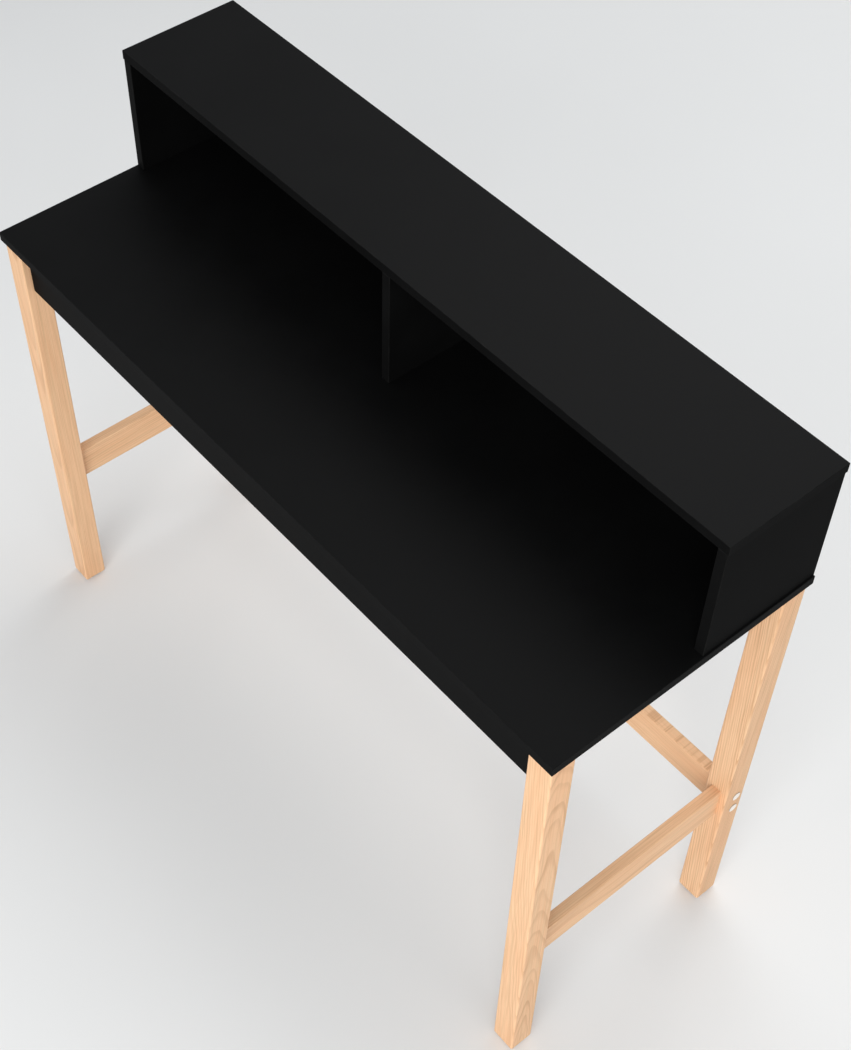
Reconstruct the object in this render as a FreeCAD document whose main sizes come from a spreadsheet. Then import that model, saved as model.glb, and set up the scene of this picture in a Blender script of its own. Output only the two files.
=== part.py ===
import FreeCAD, Part
import os
import Sketcher

# A writing desk with a low open hutch on its rear half.
# Frame: +Z up, the front faces -Y, X runs along the desk, origin under the middle of the footprint.

doc = FreeCAD.newDocument("desk_hutch")

# ---------------------------------------------------------------- driving dimensions, millimetres

DIMENSIONS = [
    ("desk_width", 1200, "length of the desktop board"),
    ("desk_depth", 444, "front to rear of the desktop board"),
    ("overall_depth", 446, "desktop front edge to hutch top rear edge"),
    ("board", 15, "thickness of every laminated board"),
    ("board_round", 0.8, "rounding of the edge banding"),
    ("leg_side", 40, "square section of a leg"),
    ("leg_length", 782, "foot end to the underside of the desktop"),
    ("leg_inset", 4.5, "desktop edge to leg face, all round"),
    ("leg_round", 3, "rounding of a leg's long and foot edges"),
    ("apron_height", 80, "board on edge under the desktop"),
    ("stretcher_thick", 18, "solid wood rail, thickness"),
    ("stretcher_height", 60, "solid wood rail, height"),
    ("stretcher_round", 1.5, "rounding of a rail's long edges"),
    ("side_rail_rise", 250, "foot of the leg to the side rail's lower edge"),
    ("rear_rail_rise", 242.5, "foot of the leg to the rear rail's lower edge"),
    ("rear_rail_shift", 4, "rear rail's centre line behind the leg's"),
    ("hutch_panel_height", 192, "upright panels of the hutch"),
    ("hutch_panel_depth", 197, "side panels, front to rear"),
    ("hutch_divider_depth", 186.5, "middle panel, front to the back panel"),
    ("hutch_inset", 2.5, "desktop end to side panel face"),
    ("hutch_top_width", 1198.5, "length of the hutch top, from over the desktop's left end"),
    ("hutch_top_depth", 199, "front to rear of the hutch top"),
    ("back_thick", 3, "hardboard back panel"),
    ("back_grip", 5, "how far the back panel enters its grooves"),
    ("groove_wide", 3.4, "groove for the back panel"),
    ("groove_deep", 5.5, "groove for the back panel"),
    ("groove_setback", 6.8, "side panel's rear edge to the groove"),
    ("dowel", 8, "fluted wood dowel, diameter"),
    ("dowel_length", 30, "wood dowel"),
    ("dowel_bore", 8.2, "dowel hole"),
    ("dowel_spare", 0.5, "glue space past the dowel's end"),
    ("dowel_chamfer", 1, "chamfer at both ends of a dowel"),
    ("hole_spare", 0.5, "free depth past the end of a screw, peg or nail"),
    ("rail_dowel_edge", 15, "side rail's edge to its dowels"),
    ("apron_dowel_edge", 15, "apron's edge to its dowels"),
    ("panel_dowel_front", 20, "panel's front edge to its front dowels"),
    ("panel_dowel_rear", 165, "panel's front edge to its rear dowels"),
    ("shallow_dowel", 10, "dowel depth in a board's face"),
    ("cam", 15, "cam lock, diameter"),
    ("cam_bore", 15.2, "cam hole"),
    ("cam_deep", 12, "cam lock, length"),
    ("cam_hole_deep", 12.4, "cam hole, depth"),
    ("cam_setback", 24, "board's edge to the cam's centre"),
    ("cam_mouth", 7.6, "cam's channel for the peg's head"),
    ("cam_mouth_back", 3, "cam's channel past its centre"),
    ("cam_slot_long", 9, "cam's screwdriver slots"),
    ("cam_slot_wide", 1.4, "cam's screwdriver slots"),
    ("cam_slot_deep", 2, "cam's screwdriver slots"),
    ("panel_cam_front", 52, "panel's front edge to its front cam"),
    ("panel_cam_rear", 130, "panel's front edge to its rear cam"),
    ("peg_thread", 6, "cam peg, screwed end"),
    ("peg_thread_bore", 6.2, "hole for the screwed end"),
    ("peg_grip", 11, "length of the screwed end"),
    ("peg_shank", 5, "cam peg, shank"),
    ("peg_bore", 7.4, "channel for the peg in the board's edge"),
    ("peg_head", 7, "cam peg, head"),
    ("peg_head_long", 3, "cam peg, head"),
    ("bolt", 6, "connector bolt, shank"),
    ("bolt_bore", 6.6, "bolt hole"),
    ("bolt_length", 60, "connector bolt under its head"),
    ("bolt_spacing", 32, "between the two bolts of a joint"),
    ("bolt_head", 10, "socket head, diameter"),
    ("bolt_head_high", 6, "socket head, height"),
    ("bolt_socket", 5, "hexagon key size"),
    ("bolt_socket_deep", 3, "hexagon socket"),
    ("bolt_spare", 2, "bolt hole past the bolt's end"),
    ("sink", 11, "counterbore in the leg"),
    ("sink_deep", 8, "counterbore in the leg"),
    ("cap", 15, "cover cap, diameter"),
    ("cap_thick", 1.2, "cover cap, flange"),
    ("cap_round", 0.5, "cover cap, rounding of its rim"),
    ("cap_plug", 10.6, "cover cap, plug"),
    ("cap_plug_long", 1.6, "cover cap, plug"),
    ("nut", 10, "barrel nut, diameter"),
    ("nut_bore", 10.2, "barrel nut hole"),
    ("nut_length", 14, "barrel nut"),
    ("nut_thread", 6.2, "threaded hole across the barrel nut"),
    ("nut_slot_wide", 1.6, "screwdriver slot in the barrel nut's end"),
    ("nut_slot_deep", 1.2, "screwdriver slot in the barrel nut's end"),
    ("nut_spare", 0.2, "nut hole past the nut's end"),
    ("nut_setback", 20, "rail's end to the barrel nut"),
    ("bracket_arm", 30, "angle bracket, each arm"),
    ("bracket_wide", 20, "angle bracket"),
    ("bracket_thick", 2, "angle bracket"),
    ("bracket_hole", 4, "angle bracket"),
    ("bracket_hole_near", 11, "corner to the first screw"),
    ("bracket_hole_far", 23, "corner to the second screw"),
    ("screw", 3.5, "bracket screw, shank"),
    ("screw_bore", 3.7, "hole for a bracket screw"),
    ("screw_head", 7, "bracket screw, head"),
    ("screw_head_high", 2.2, "bracket screw, head"),
    ("screw_head_low", 4.9, "bracket screw, head where it meets the shank"),
    ("screw_taper", 4.2, "bracket screw, length of its point"),
    ("screw_tip", 0.6, "flat at the end of every screw's point"),
    ("recess_long", 3.6, "crosshead recess"),
    ("recess_wide", 0.9, "crosshead recess"),
    ("recess_deep", 1.2, "crosshead recess"),
    ("leg_screw_length", 16, "bracket screw into a leg"),
    ("top_screw_length", 13, "bracket screw into the desktop"),
    ("foot_screw", 4, "hutch foot screw, shank"),
    ("foot_screw_bore", 4.2, "hole for a hutch foot screw"),
    ("foot_screw_length", 40, "hutch foot screw over all"),
    ("foot_screw_taper", 4.8, "hutch foot screw, length of its point"),
    ("foot_screw_head", 8, "countersunk head"),
    ("foot_screw_well", 8.4, "well for the countersunk head"),
    ("foot_screw_head_high", 2.4, "countersunk head"),
    ("foot_screw_sunk", 0.4, "head below the desktop's underside"),
    ("foot_screw_front", 52, "panel's front edge to the front foot screw"),
    ("foot_screw_rear", 105, "panel's front edge to the rear foot screw"),
    ("glide", 30, "foot glide, diameter"),
    ("glide_high", 3, "foot glide"),
    ("glide_recess", 6.4, "glide, well for the nail's head"),
    ("glide_recess_deep", 1.4, "glide, well for the nail's head"),
    ("nail", 2.5, "glide nail, shank"),
    ("nail_bore", 2.8, "hole for the glide nail"),
    ("nail_head", 6, "glide nail, head"),
    ("nail_head_high", 1, "glide nail, head"),
    ("nail_length", 14, "glide nail under its head"),
]

dims = doc.addObject("Spreadsheet::Sheet", "dims")
for row, (alias, number, note) in enumerate(DIMENSIONS, start=1):
    dims.set(f"A{row}", alias)
    dims.set(f"B{row}", str(number))
    dims.set(f"C{row}", note)
    dims.setAlias(f"B{row}", alias)
doc.recompute()

# Heights and places that several pieces share, as expressions on the sheet.
FRONT = "(-dims.overall_depth / 2)"
DESK_LOW = "(dims.glide_high + dims.leg_length)"
DESK_TOP = f"({DESK_LOW} + dims.board)"
LEG_LEFT = "(-dims.desk_width / 2 + dims.leg_inset)"
LEG_RIGHT = "(dims.desk_width / 2 - dims.leg_inset - dims.leg_side)"
LEG_FRONT = f"({FRONT} + dims.leg_inset)"
LEG_REAR = f"({FRONT} + dims.desk_depth - dims.leg_inset - dims.leg_side)"
LEG_MIDDLE = "(dims.leg_side / 2)"
RAIL_LENGTH = "(dims.desk_width - 2 * dims.leg_inset - 2 * dims.leg_side)"
SIDE_RAIL_LENGTH = "(dims.desk_depth - 2 * dims.leg_inset - 2 * dims.leg_side)"
APRON_RISE = "(dims.leg_length - dims.apron_height)"
BOLT_HEIGHTS = [
    f"(dims.rear_rail_rise + dims.stretcher_height / 2 {sign} dims.bolt_spacing / 2)" for sign in "-+"
]
PANEL_FRONT = f"({FRONT} + dims.overall_depth - dims.hutch_top_depth)"
PANEL_TOP = f"({DESK_TOP} + dims.hutch_panel_height)"
PANEL_LEFT = "(-dims.desk_width / 2 + dims.hutch_inset)"
PANEL_RIGHT = "(dims.desk_width / 2 - dims.hutch_inset - dims.board)"
PANEL_MIDDLE = "(-dims.board / 2)"
GROOVE_FRONT = "(dims.hutch_panel_depth - dims.groove_setback - dims.groove_wide)"
PANEL_DOWELS = ("dims.panel_dowel_front", "dims.panel_dowel_rear")
PANEL_CAMS = ("dims.panel_cam_front", "dims.panel_cam_rear")
FOOT_SCREWS = ("dims.foot_screw_front", "dims.foot_screw_rear")
BRACKET_HOLES = ("dims.bracket_hole_near", "dims.bracket_hole_far")
PEG_HOLE_DEEP = "(dims.peg_grip + dims.hole_spare)"
SHALLOW_BORE = "(dims.shallow_dowel + dims.dowel_spare)"
DEEP_BORE = "(dims.dowel_length - dims.shallow_dowel + dims.dowel_spare)"
HALF_BORE = "(dims.dowel_length / 2 + dims.dowel_spare)"

# The edge numbers of a cylinder's two rims.
LOW_RIM = 2
HIGH_RIM = 3

SIDES = ("left", "right")
ENDS = ("front", "rear")
LEG_X = {"left": LEG_LEFT, "right": LEG_RIGHT}
LEG_Y = {"front": LEG_FRONT, "rear": LEG_REAR}
PANEL_X = {"left": PANEL_LEFT, "middle": PANEL_MIDDLE, "right": PANEL_RIGHT}

UP = FreeCAD.Vector(0, 0, 1)
DOWN = FreeCAD.Vector(0, 0, -1)
EAST = FreeCAD.Vector(1, 0, 0)
WEST = FreeCAD.Vector(-1, 0, 0)
NORTH = FreeCAD.Vector(0, 1, 0)
SOUTH = FreeCAD.Vector(0, -1, 0)


# ---------------------------------------------------------------- helpers

def value(expression):
    """The number that an expression on the sheet stands for."""
    return float(dims.evalExpression(expression))


def place(item, position, rotation=FreeCAD.Rotation()):
    """Turn an object, and bind its position to three expressions."""
    item.Placement = FreeCAD.Placement(FreeCAD.Vector(0, 0, 0), rotation)
    for axis, expression in zip("xyz", position):
        item.setExpression(f"Placement.Base.{axis}", expression)
    return item


def plane_sketch(body, name, role, offset=None):
    """A sketch on one of the body's own origin planes, moved out along the plane's normal."""
    sketch = body.newObject("Sketcher::SketchObject", name)
    plane = next(feature for feature in body.Origin.OriginFeatures if feature.Role == role)
    sketch.AttachmentSupport = [(plane, "")]
    sketch.MapMode = "FlatFace"
    if offset:
        sketch.setExpression("AttachmentOffset.Base.z", offset)
    return sketch


def hold(sketch, geometry, point, where):
    """Fix one point of a sketch at two expressions measured from the sketch's origin."""
    for kind, expression, axis in zip(("DistanceX", "DistanceY"), where, (-2, -1)):
        if expression == "0":
            sketch.addConstraint(Sketcher.Constraint("PointOnObject", geometry, point, axis))
            continue
        size = value(expression)
        index = sketch.addConstraint(Sketcher.Constraint(kind, -1, 1, geometry, point, size))
        sketch.renameConstraint(index, f"{kind}_{geometry}_{point}")
        sketch.setExpression(f"Constraints.{kind}_{geometry}_{point}", expression)


def polygon(sketch, corners):
    """A closed outline through corners, each a pair of expressions."""
    points = [FreeCAD.Vector(value(x), value(y), 0) for x, y in corners]
    count = len(points)
    for index, start in enumerate(points):
        sketch.addGeometry(Part.LineSegment(start, points[(index + 1) % count]), False)
    for index in range(count):
        following = (index + 1) % count
        sketch.addConstraint(Sketcher.Constraint("Coincident", index, 2, following, 1))
    for index, corner in enumerate(corners):
        hold(sketch, index, 1, corner)


def rectangle(sketch, low, high):
    """A rectangle between two corners, each a pair of expressions."""
    polygon(sketch, [low, (high[0], low[1]), high, (low[0], high[1])])


def circles(sketch, centres, diameter):
    """Equal circles, their centres given as pairs of expressions."""
    for centre in centres:
        middle = FreeCAD.Vector(value(centre[0]), value(centre[1]), 0)
        index = sketch.addGeometry(Part.Circle(middle, UP, value(diameter) / 2), False)
        size = sketch.addConstraint(Sketcher.Constraint("Diameter", index, value(diameter)))
        sketch.renameConstraint(size, f"Diameter_{index}")
        sketch.setExpression(f"Constraints.Diameter_{index}", diameter)
        hold(sketch, index, 3, centre)


# The way a pocket must run from each face of a block whose low corner is the body's origin:
# the origin plane to sketch on, the sign of its offset to the far face, and the pocket's sense.
FACES = {
    "bottom": ("XY_Plane", None, True),
    "top": ("XY_Plane", "+", False),
    "front": ("XZ_Plane", None, False),
    "rear": ("XZ_Plane", "-", True),
    "left": ("YZ_Plane", None, True),
    "right": ("YZ_Plane", "+", False),
}


def cut_face(body, name, face, size, depth):
    """Start a pocket of a stated depth in one face of a block; returns its empty sketch."""
    role, sign, reverse = FACES[face]
    sketch = plane_sketch(body, f"{name}_sketch", role, sign and f"{sign}1 * ({size})")
    pocket = body.newObject("PartDesign::Pocket", name)
    pocket.Profile = sketch
    pocket.Reversed = reverse
    pocket.setExpression("Length", depth)
    sketch.Visibility = False
    return sketch


def drill(body, name, face, size, centres, diameter, depth):
    """Equal round holes in one face of a block that is size thick that way."""
    circles(cut_face(body, name, face, size, depth), centres, diameter)


def round_edges(body, base, name, radius, keep):
    """Round the straight edges of a feature for which keep(middle of the edge, direction) is true."""
    doc.recompute()
    chosen = []
    for index, edge in enumerate(base.Shape.Edges, start=1):
        run = edge.Vertexes[-1].Point - edge.Vertexes[0].Point
        if keep(edge.CenterOfMass, run):
            chosen.append(f"Edge{index}")
    fillet = body.newObject("PartDesign::Fillet", name)
    fillet.Base = (base, chosen)
    fillet.setExpression("Radius", radius)


def block(label, size, position, radius, keep):
    """A rectangular piece with rounded edges; its body's origin is its low corner."""
    body = doc.addObject("PartDesign::Body", label)
    body.Label = label
    outline = plane_sketch(body, f"{label}_outline", "XY_Plane")
    rectangle(outline, ("0", "0"), (size[0], size[1]))
    pad = body.newObject("PartDesign::Pad", f"{label}_pad")
    pad.Profile = outline
    pad.setExpression("Length", size[2])
    round_edges(body, pad, f"{label}_rounding", radius, keep)
    return place(body, position)


def every_edge(middle, run):
    """All twelve edges of a banded board."""
    return True


def cylinder(name, diameter, height, position=("0", "0", "0"), direction=UP):
    """A round bar from position along direction."""
    bar = doc.addObject("Part::Cylinder", name)
    bar.setExpression("Radius", f"({diameter}) / 2")
    bar.setExpression("Height", height)
    return place(bar, position, FreeCAD.Rotation(UP, direction))


def cone(name, low, high, height, position=("0", "0", "0")):
    """A round taper along +Z, with the diameters low and high at its ends."""
    taper = doc.addObject("Part::Cone", name)
    taper.setExpression("Radius1", f"({low}) / 2")
    taper.setExpression("Radius2", f"({high}) / 2")
    taper.setExpression("Height", height)
    return place(taper, position)


def box(name, size, position):
    """A plain box with its low corner at position."""
    brick = doc.addObject("Part::Box", name)
    for side, expression in zip(("Length", "Width", "Height"), size):
        brick.setExpression(side, expression)
    return place(brick, position)


def fuse(name, pieces):
    """One solid from several."""
    joined = doc.addObject("Part::MultiFuse", name)
    joined.Shapes = pieces
    return joined


def cut(name, base, tool):
    """The base less the tool."""
    rest = doc.addObject("Part::Cut", name)
    rest.Base = base
    rest.Tool = tool
    return rest


def cross_slots(name, long, wide, deep, low):
    """Two crossed slots about the Z axis, from the height low upward."""
    slot = box(f"{name}_slot", (long, wide, deep), (f"-{long} / 2", f"-{wide} / 2", low))
    cross = box(f"{name}_cross", (wide, long, deep), (f"-{wide} / 2", f"-{long} / 2", low))
    return fuse(f"{name}_slots", [slot, cross])


def group(label, pieces):
    """One node of equal fasteners that stay separate solids."""
    bundle = doc.addObject("Part::Compound", label)
    bundle.Label = label
    bundle.Links = pieces
    return bundle


# ---------------------------------------------------------------- desktop, aprons, legs and rails

def make_desktop():
    """The writing surface, with blind dowel holes above and screw holes below."""
    size = ("dims.desk_width", "dims.desk_depth", "dims.board")
    position = ("-dims.desk_width / 2", FRONT, DESK_LOW)
    body = block("desktop", size, position, "dims.board_round", every_edge)
    panel_start = "(dims.desk_depth - dims.hutch_panel_depth)"
    dowels = []
    screws = []
    for x in PANEL_X.values():
        middle = f"(dims.desk_width / 2 + {x} + dims.board / 2)"
        dowels += [(middle, f"{panel_start} + {back}") for back in PANEL_DOWELS]
        screws += [(middle, f"{panel_start} + {back}") for back in FOOT_SCREWS]
    drill(body, "desktop_dowel_holes", "top", "dims.board", dowels, "dims.dowel_bore", SHALLOW_BORE)
    drill(body, "desktop_screw_holes", "bottom", "dims.board", screws, "dims.foot_screw_bore", "dims.board")
    wells = "dims.foot_screw_head_high + dims.foot_screw_sunk"
    drill(body, "desktop_screw_wells", "bottom", "dims.board", screws, "dims.foot_screw_well", wells)
    holes = []
    leg_middle = "dims.leg_inset + dims.leg_side / 2"
    for x in (leg_middle, f"dims.desk_width - ({leg_middle})"):
        for reach in BRACKET_HOLES:
            inner = f"dims.leg_inset + dims.leg_side + {reach}"
            holes += [(x, inner), (x, f"dims.desk_depth - ({inner})")]
    bite = "dims.top_screw_length - dims.bracket_thick + dims.hole_spare"
    drill(body, "desktop_bracket_holes", "bottom", "dims.board", holes, "dims.screw_bore", bite)


def make_apron(end):
    """The board on edge between two legs, under the front or rear of the desktop."""
    label = f"{end}_apron"
    size = (RAIL_LENGTH, "dims.board", "dims.apron_height")
    y = f"{LEG_Y[end]} + (dims.leg_side - dims.board) / 2"
    position = (f"{LEG_LEFT} + dims.leg_side", y, f"{DESK_LOW} - dims.apron_height")
    body = block(label, size, position, "dims.board_round", every_edge)
    heights = ("dims.apron_dowel_edge", "dims.apron_height - dims.apron_dowel_edge")
    dowels = [("dims.board / 2", z) for z in heights]
    pegs = [("dims.board / 2", "dims.apron_height / 2")]
    for face in SIDES:
        drill(body, f"{label}_{face}_dowel_holes", face, RAIL_LENGTH, dowels, "dims.dowel_bore", HALF_BORE)
        drill(body, f"{label}_{face}_peg_hole", face, RAIL_LENGTH, pegs, "dims.peg_bore", "dims.cam_setback")
    inner_face = {"front": "rear", "rear": "front"}[end]
    cams = [(x, "dims.apron_height / 2") for x in ("dims.cam_setback", f"{RAIL_LENGTH} - dims.cam_setback")]
    drill(body, f"{label}_cam_holes", inner_face, "dims.board", cams, "dims.cam_bore", "dims.cam_hole_deep")


def long_or_foot(middle, run):
    """A leg's four long edges and the four round its foot."""
    return abs(run.z) > 1 or middle.z < 1


def make_leg(end, side):
    """A square leg; its holes face its neighbours, so the four legs are two mirrored pairs."""
    label = f"leg_{end}_{side}"
    size = ("dims.leg_side", "dims.leg_side", "dims.leg_length")
    position = (LEG_X[side], LEG_Y[end], "dims.glide_high")
    body = block(label, size, position, "dims.leg_round", long_or_foot)
    wide = "dims.leg_side"
    inner_face = {"left": "right", "right": "left"}[side]
    rail_face = {"front": "rear", "rear": "front"}[end]

    rail_dowels = [
        (LEG_MIDDLE, "dims.side_rail_rise + dims.rail_dowel_edge"),
        (LEG_MIDDLE, "dims.side_rail_rise + dims.stretcher_height - dims.rail_dowel_edge"),
    ]
    drill(body, f"{label}_rail_holes", rail_face, wide, rail_dowels, "dims.dowel_bore", HALF_BORE)

    apron_dowels = [
        (LEG_MIDDLE, f"{APRON_RISE} + dims.apron_dowel_edge"),
        (LEG_MIDDLE, "dims.leg_length - dims.apron_dowel_edge"),
    ]
    drill(body, f"{label}_apron_holes", inner_face, wide, apron_dowels, "dims.dowel_bore", HALF_BORE)
    peg = [(LEG_MIDDLE, f"{APRON_RISE} + dims.apron_height / 2")]
    drill(body, f"{label}_peg_hole", inner_face, wide, peg, "dims.peg_thread_bore", PEG_HOLE_DEEP)

    screws = [(LEG_MIDDLE, f"dims.leg_length - {reach}") for reach in BRACKET_HOLES]
    bite = "dims.leg_screw_length - dims.bracket_thick + dims.hole_spare"
    drill(body, f"{label}_bracket_holes", rail_face, wide, screws, "dims.screw_bore", bite)

    nail = [(LEG_MIDDLE, LEG_MIDDLE)]
    nail_deep = "dims.nail_length - dims.glide_high + dims.glide_recess_deep + dims.hole_spare"
    drill(body, f"{label}_nail_hole", "bottom", "dims.leg_length", nail, "dims.nail_bore", nail_deep)

    if end == "rear":
        bolts = [(f"{LEG_MIDDLE} + dims.rear_rail_shift", z) for z in BOLT_HEIGHTS]
        drill(body, f"{label}_bolt_holes", side, wide, bolts, "dims.bolt_bore", wide)
        drill(body, f"{label}_bolt_sinks", side, wide, bolts, "dims.sink", "dims.sink_deep")


def along_y(middle, run):
    """The four long edges of a side rail."""
    return abs(run.y) > abs(run.x) + abs(run.z)


def along_x(middle, run):
    """The four long edges of the rear rail."""
    return abs(run.x) > abs(run.y) + abs(run.z)


def make_side_rail(side):
    """The rail between the front and rear leg of one side, held by two dowels at each end."""
    label = f"side_stretcher_{side}"
    size = ("dims.stretcher_thick", SIDE_RAIL_LENGTH, "dims.stretcher_height")
    x = f"{LEG_X[side]} + (dims.leg_side - dims.stretcher_thick) / 2"
    position = (x, f"{LEG_FRONT} + dims.leg_side", "dims.glide_high + dims.side_rail_rise")
    body = block(label, size, position, "dims.stretcher_round", along_y)
    middle = "dims.stretcher_thick / 2"
    edge = "dims.rail_dowel_edge"
    dowels = [(middle, edge), (middle, f"dims.stretcher_height - {edge}")]
    for face in ENDS:
        drill(body, f"{label}_{face}_holes", face, SIDE_RAIL_LENGTH, dowels, "dims.dowel_bore", HALF_BORE)


def make_rear_rail():
    """The rail between the rear legs, drawn up by two bolts and barrel nuts at each end."""
    size = (RAIL_LENGTH, "dims.stretcher_thick", "dims.stretcher_height")
    y = f"{LEG_REAR} + {LEG_MIDDLE} + dims.rear_rail_shift - dims.stretcher_thick / 2"
    position = (f"{LEG_LEFT} + dims.leg_side", y, "dims.glide_high + dims.rear_rail_rise")
    body = block("rear_stretcher", size, position, "dims.stretcher_round", along_x)
    heights = [f"(dims.stretcher_height / 2 {sign} dims.bolt_spacing / 2)" for sign in "-+"]
    bolts = [("dims.stretcher_thick / 2", z) for z in heights]
    bolt_deep = "dims.bolt_length - (dims.leg_side - dims.sink_deep) + dims.bolt_spare"
    for face in SIDES:
        name = f"rear_stretcher_{face}_bolt_holes"
        drill(body, name, face, RAIL_LENGTH, bolts, "dims.bolt_bore", bolt_deep)
    nuts = [(x, z) for x in ("dims.nut_setback", f"{RAIL_LENGTH} - dims.nut_setback") for z in heights]
    nut_deep = "(dims.stretcher_thick + dims.nut_length) / 2 + dims.nut_spare"
    drill(body, "rear_stretcher_nut_holes", "rear", "dims.stretcher_thick", nuts, "dims.nut_bore", nut_deep)


# ---------------------------------------------------------------- hutch

def make_hutch_panel(place_name):
    """An upright of the hutch: a grooved side panel or the plain middle divider."""
    label = "hutch_divider" if place_name == "middle" else f"hutch_side_{place_name}"
    depth = "dims.hutch_divider_depth" if place_name == "middle" else "dims.hutch_panel_depth"
    size = ("dims.board", depth, "dims.hutch_panel_height")
    body = block(label, size, (PANEL_X[place_name], PANEL_FRONT, DESK_TOP), "dims.board_round", every_edge)
    high = "dims.hutch_panel_height"
    middle = "dims.board / 2"
    dowels = [(middle, back) for back in PANEL_DOWELS]
    drill(body, f"{label}_top_dowel_holes", "top", high, dowels, "dims.dowel_bore", DEEP_BORE)
    drill(body, f"{label}_foot_dowel_holes", "bottom", high, dowels, "dims.dowel_bore", DEEP_BORE)
    pegs = [(middle, back) for back in PANEL_CAMS]
    drill(body, f"{label}_peg_holes", "top", high, pegs, "dims.peg_bore", "dims.cam_setback")
    screws = [(middle, back) for back in FOOT_SCREWS]
    screw_deep = "dims.foot_screw_length + dims.foot_screw_sunk - dims.board + dims.hole_spare"
    drill(body, f"{label}_screw_holes", "bottom", high, screws, "dims.foot_screw_bore", screw_deep)
    cam_face = "right" if place_name == "left" else "left"
    cams = [(back, f"{high} - dims.cam_setback") for back in PANEL_CAMS]
    drill(body, f"{label}_cam_holes", cam_face, "dims.board", cams, "dims.cam_bore", "dims.cam_hole_deep")
    if place_name != "middle":
        groove = cut_face(body, f"{label}_groove", cam_face, "dims.board", "dims.groove_deep")
        rectangle(groove, (GROOVE_FRONT, "0"), (f"{GROOVE_FRONT} + dims.groove_wide", high))


def make_hutch_top():
    """The hutch's lid, with dowel and peg holes and a stopped groove in its underside."""
    size = ("dims.hutch_top_width", "dims.hutch_top_depth", "dims.board")
    position = ("-dims.desk_width / 2", PANEL_FRONT, PANEL_TOP)
    body = block("hutch_top", size, position, "dims.board_round", every_edge)
    dowels = []
    pegs = []
    for x in PANEL_X.values():
        middle = f"dims.desk_width / 2 + {x} + dims.board / 2"
        dowels += [(middle, back) for back in PANEL_DOWELS]
        pegs += [(middle, back) for back in PANEL_CAMS]
    thick = "dims.board"
    drill(body, "hutch_top_dowel_holes", "bottom", thick, dowels, "dims.dowel_bore", SHALLOW_BORE)
    drill(body, "hutch_top_peg_holes", "bottom", thick, pegs, "dims.peg_thread_bore", PEG_HOLE_DEEP)
    groove = cut_face(body, "hutch_top_groove", "bottom", thick, "dims.groove_deep")
    end = "dims.hutch_inset + dims.board - dims.groove_deep"
    opposite = (f"dims.desk_width - ({end})", f"{GROOVE_FRONT} + dims.groove_wide")
    rectangle(groove, (end, GROOVE_FRONT), opposite)


def make_hutch_back():
    """The thin back panel, held in the grooves of the sides and the top."""
    inside = "(dims.desk_width - 2 * dims.hutch_inset - 2 * dims.board)"
    wide = f"{inside} + 2 * dims.back_grip"
    high = "dims.hutch_panel_height + dims.back_grip"
    y = f"{PANEL_FRONT} + {GROOVE_FRONT} + (dims.groove_wide - dims.back_thick) / 2"
    where = (f"-{inside} / 2 - dims.back_grip", y, DESK_TOP)
    panel = box("hutch_back_panel", (wide, "dims.back_thick", high), where)
    panel.Label = "hutch_back_panel"


# ---------------------------------------------------------------- dowels

def dowel(name, position, direction):
    """A wood dowel with chamfered ends, from position along direction."""
    bar = cylinder(f"{name}_bar", "dims.dowel", "dims.dowel_length", position, direction)
    pin = doc.addObject("Part::Chamfer", name)
    pin.Base = bar
    chamfer = value("dims.dowel_chamfer")
    pin.Edges = [(LOW_RIM, chamfer, chamfer), (HIGH_RIM, chamfer, chamfer)]
    return pin


def make_rail_dowels():
    """Two dowels at each end of each side rail."""
    pins = []
    heights = ("dims.rail_dowel_edge", "dims.stretcher_height - dims.rail_dowel_edge")
    joints = {
        "front": f"{LEG_FRONT} + dims.leg_side - dims.dowel_length / 2",
        "rear": f"{LEG_REAR} - dims.dowel_length / 2",
    }
    for side in SIDES:
        for end, y in joints.items():
            for number, height in enumerate(heights):
                x = f"{LEG_X[side]} + {LEG_MIDDLE}"
                z = f"dims.glide_high + dims.side_rail_rise + {height}"
                pins.append(dowel(f"rail_dowel_{side}_{end}_{number}", (x, y, z), NORTH))
    group("side_stretcher_dowels", pins)


def make_apron_dowels():
    """Two dowels at each end of each apron."""
    pins = []
    heights = ("dims.apron_dowel_edge", "dims.apron_height - dims.apron_dowel_edge")
    joints = {
        "left": f"{LEG_LEFT} + dims.leg_side - dims.dowel_length / 2",
        "right": f"{LEG_RIGHT} - dims.dowel_length / 2",
    }
    for end in ENDS:
        for side, x in joints.items():
            for number, height in enumerate(heights):
                y = f"{LEG_Y[end]} + {LEG_MIDDLE}"
                z = f"{DESK_LOW} - dims.apron_height + {height}"
                pins.append(dowel(f"apron_dowel_{end}_{side}_{number}", (x, y, z), EAST))
    group("apron_dowels", pins)


def make_panel_dowels():
    """Two dowels over and two under each upright of the hutch."""
    levels = {
        "hutch_foot_dowels": f"{DESK_TOP} - dims.shallow_dowel",
        "hutch_top_dowels": f"{PANEL_TOP} + dims.shallow_dowel - dims.dowel_length",
    }
    for label, z in levels.items():
        pins = []
        for place_name, x in PANEL_X.items():
            for number, back in enumerate(PANEL_DOWELS):
                position = (f"{x} + dims.board / 2", f"{PANEL_FRONT} + {back}", z)
                pins.append(dowel(f"{label}_{place_name}_{number}", position, UP))
        group(label, pins)


# ---------------------------------------------------------------- cam locks and pegs

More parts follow.
